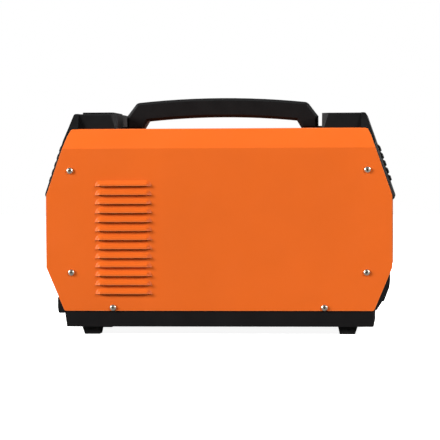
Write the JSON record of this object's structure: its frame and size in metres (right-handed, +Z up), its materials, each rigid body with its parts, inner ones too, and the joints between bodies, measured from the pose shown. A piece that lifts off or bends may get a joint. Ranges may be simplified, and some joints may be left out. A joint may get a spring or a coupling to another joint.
{
  "type": "tig welding machine",
  "caption": "Portable inverter TIG welder: folded sheet-metal cover with louvres, moulded ends, carrying handle, front controls and sockets, rear fan and gas inlet.",
  "frame": {"origin": "on the floor under the middle of the case", "axes": "+X towards the front panel, +Y to the machine's left, +Z up"},
  "size_m": [0.425, 0.1688, 0.2883],
  "materials": {
    "orange_paint": "fine-textured powder coat, satin",
    "black_paint": "satin powder coat",
    "black_plastic": "spark-textured moulding",
    "grey_plastic": "fine-textured fascia",
    "rubber": "dull rubber",
    "zinc_steel": "bright zinc plate",
    "brass": "turned brass",
    "copper": "bare and enamelled copper",
    "aluminium": "extruded aluminium",
    "circuit_board": "green solder mask",
    "ferrite": "dark sintered ferrite",
    "display_lens": "dark red clear window",
    "red_plastic": "glossy switch plastic",
    "hose": "smooth gas hose",
    "capacitor_sleeve": "shrink sleeve"
  },
  "bodies": {
    "case": {"cover": "orange_paint", "base_tray": "black_paint", "foot_front_left": "rubber", "foot_front_right": "rubber", "foot_rear_left": "rubber", "foot_rear_right": "rubber", "cover_screw_01": "zinc_steel", "cover_screw_02": "zinc_steel", "cover_screw_03": "zinc_steel", "cover_screw_04": "zinc_steel", "cover_screw_05": "zinc_steel", "cover_screw_06": "zinc_steel", "cover_screw_07": "zinc_steel", "cover_screw_08": "zinc_steel", "cover_screw_09": "zinc_steel", "cover_screw_10": "zinc_steel", "cover_screw_11": "zinc_steel", "cover_screw_12": "zinc_steel", "handle": "black_plastic", "front_frame": "black_plastic", "front_panel": "grey_plastic", "display_window": "display_lens", "process_switch_housing": "black_plastic", "trigger_switch_housing": "black_plastic", "negative_socket_body": "black_plastic", "negative_socket_insert": "brass", "positive_socket_body": "black_plastic", "positive_socket_insert": "brass", "torch_control_socket": "zinc_steel", "gas_outlet": "brass", "rear_frame": "black_plastic", "rear_panel": "black_paint", "power_switch_housing": "black_plastic", "cable_gland": "black_plastic", "gas_inlet": "brass", "fan_guard": "black_paint", "fan_frame": "black_plastic", "handle_bracket": "zinc_steel", "power_board": "circuit_board", "control_board": "circuit_board", "primary_heatsink": "aluminium", "output_heatsink": "aluminium", "bus_capacitor_1": "capacitor_sleeve", "bus_capacitor_2": "capacitor_sleeve", "transformer_core": "ferrite", "transformer_winding": "copper", "output_choke": "copper", "high_frequency_coil": "copper", "gas_valve": "brass", "inlet_hose": "hose", "outlet_hose": "hose", "negative_busbar": "copper", "positive_busbar": "copper"},
    "current_knob": {"current_knob": "black_plastic"},
    "slope_knob": {"slope_knob": "black_plastic"},
    "post_gas_knob": {"post_gas_knob": "black_plastic"},
    "process_rocker": {"process_rocker": "black_plastic"},
    "trigger_rocker": {"trigger_rocker": "black_plastic"},
    "power_rocker": {"power_rocker": "red_plastic"},
    "fan_rotor": {"fan_rotor": "black_plastic"}
  },
  "joints": [
    {"name": "current_knob_turn", "type": "hinge", "parent": "case", "child": "current_knob", "pos_m": [0.195, 0.034, 0.141], "axis": [1, 0, 0], "range_deg": [-150, 150]},
    {"name": "slope_knob_turn", "type": "hinge", "parent": "case", "child": "slope_knob", "pos_m": [0.195, -0.046, 0.115], "axis": [1, 0, 0], "range_deg": [-150, 150]},
    {"name": "post_gas_knob_turn", "type": "hinge", "parent": "case", "child": "post_gas_knob", "pos_m": [0.195, -0.02, 0.115], "axis": [1, 0, 0], "range_deg": [-150, 150]},
    {"name": "process_rocker_tip", "type": "hinge", "parent": "case", "child": "process_rocker", "pos_m": [0.1903, 0.014, 0.11], "axis": [0, 1, 0], "range_deg": [0, 22]},
    {"name": "trigger_rocker_tip", "type": "hinge", "parent": "case", "child": "trigger_rocker", "pos_m": [0.1903, 0.038, 0.11], "axis": [0, 1, 0], "range_deg": [0, 22]},
    {"name": "power_rocker_tip", "type": "hinge", "parent": "case", "child": "power_rocker", "pos_m": [-0.1903, -0.0465, 0.138], "axis": [0, -1, 0], "range_deg": [0, 24]},
    {"name": "fan_spin", "type": "hinge", "parent": "case", "child": "fan_rotor", "pos_m": [-0.176, 0.015, 0.1105], "axis": [1, 0, 0], "continuous": true}
  ]
}
